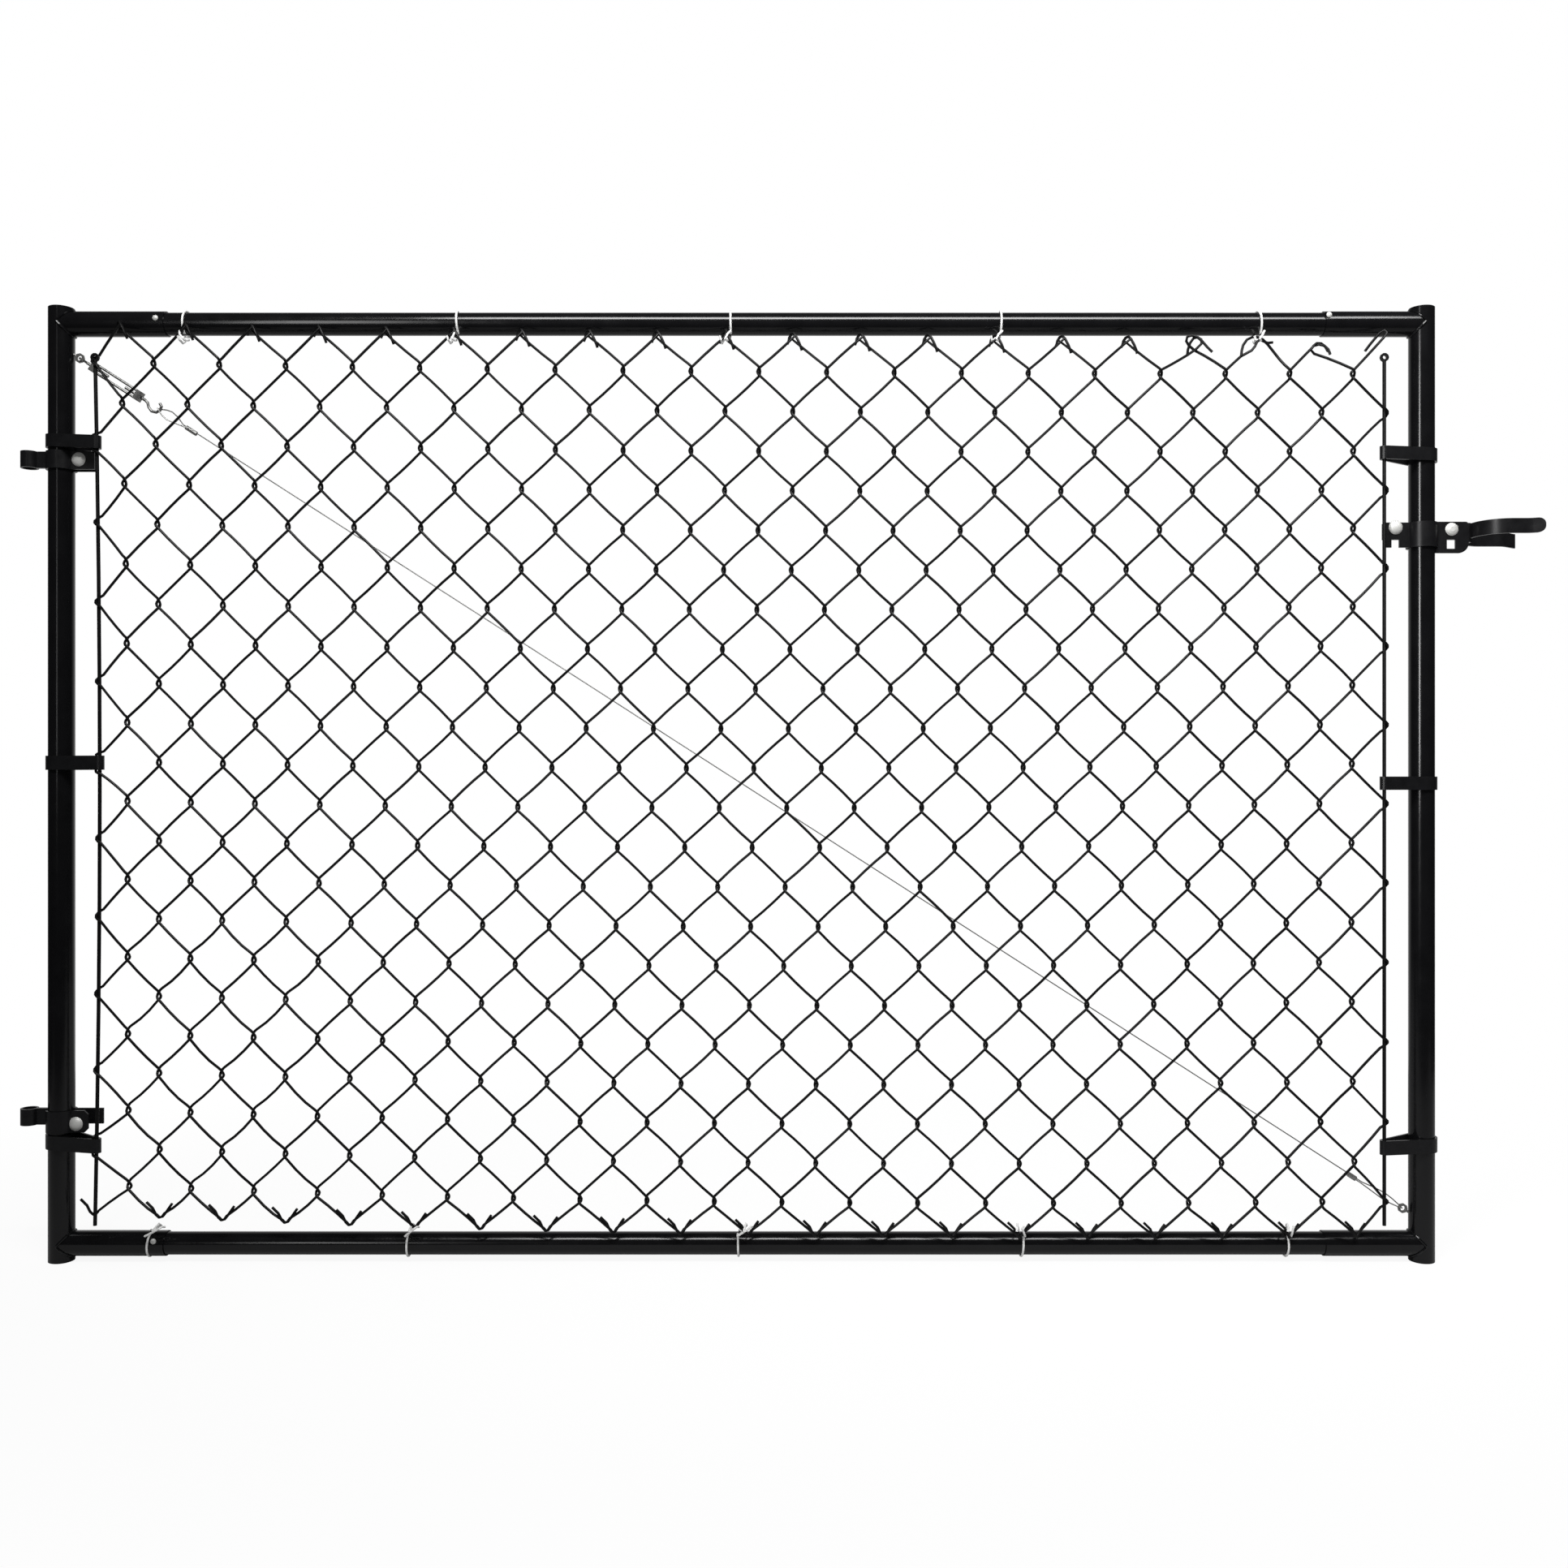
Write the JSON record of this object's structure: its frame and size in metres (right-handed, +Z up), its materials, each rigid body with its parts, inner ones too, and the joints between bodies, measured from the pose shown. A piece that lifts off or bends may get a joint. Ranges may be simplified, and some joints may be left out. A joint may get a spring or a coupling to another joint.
{
  "type": "chain link gate",
  "caption": "Black chain link walk gate leaf with a telescoping tube frame, female hinges, a pivoting fork latch and a diagonal truss cable with turnbuckle.",
  "frame": {"origin": "on the flat bottom face of the lower hinge eye, in the frame's middle plane, 10 mm from the pin axis towards the hinge upright", "axes": "+X from the hinge side to the latch side, +Y away from the side that carries the fabric, +Z up"},
  "size_m": [1.938, 0.098, 1.219],
  "materials": {
    "coated_tube": "glossy black powder coat",
    "coated_fittings": "glossy black powder coat",
    "coated_bar": "semi-gloss black coat",
    "coated_wire": "semi-gloss black polymer-coated wire",
    "cable_steel": "twisted galvanised wire",
    "turnbuckle_metal": "dull zinc plate",
    "plated_bolt": "bright zinc plate"
  },
  "bodies": {
    "gate_leaf": {"bottom_rail": "coated_tube", "fabric_hinge_side": "coated_wire", "fabric_latch_side": "coated_wire", "fabric_middle": "coated_wire", "latch_back_clamp": "coated_fittings", "latch_front_clamp": "coated_fittings", "latch_pivot_bolt": "plated_bolt", "left_band_lower": "coated_fittings", "left_band_middle": "coated_fittings", "left_band_upper": "coated_fittings", "left_bottom_stub": "coated_tube", "left_tension_bar": "coated_bar", "left_top_stub": "coated_tube", "left_upright": "coated_tube", "lower_cable_eye_screw": "turnbuckle_metal", "lower_cable_sleeve": "cable_steel", "lower_hinge": "coated_fittings", "right_band_lower": "coated_fittings", "right_band_middle": "coated_fittings", "right_band_upper": "coated_fittings", "right_bottom_stub": "coated_tube", "right_tension_bar": "coated_bar", "right_top_stub": "coated_tube", "right_upright": "coated_tube", "top_rail": "coated_tube", "truss_cable": "cable_steel", "turnbuckle_body": "turnbuckle_metal", "turnbuckle_eye": "turnbuckle_metal", "turnbuckle_hook": "turnbuckle_metal", "upper_cable_eye_screw": "turnbuckle_metal", "upper_cable_sleeve": "cable_steel", "upper_hinge": "coated_fittings"},
    "fork": {"latch_fork": "coated_fittings"}
  },
  "joints": [
    {"name": "fork_pivot", "type": "hinge", "parent": "gate_leaf", "child": "fork", "pos_m": [1.8092, 0, 0.7612], "axis": [0, -1, 0], "range_deg": [0, 100]}
  ]
}
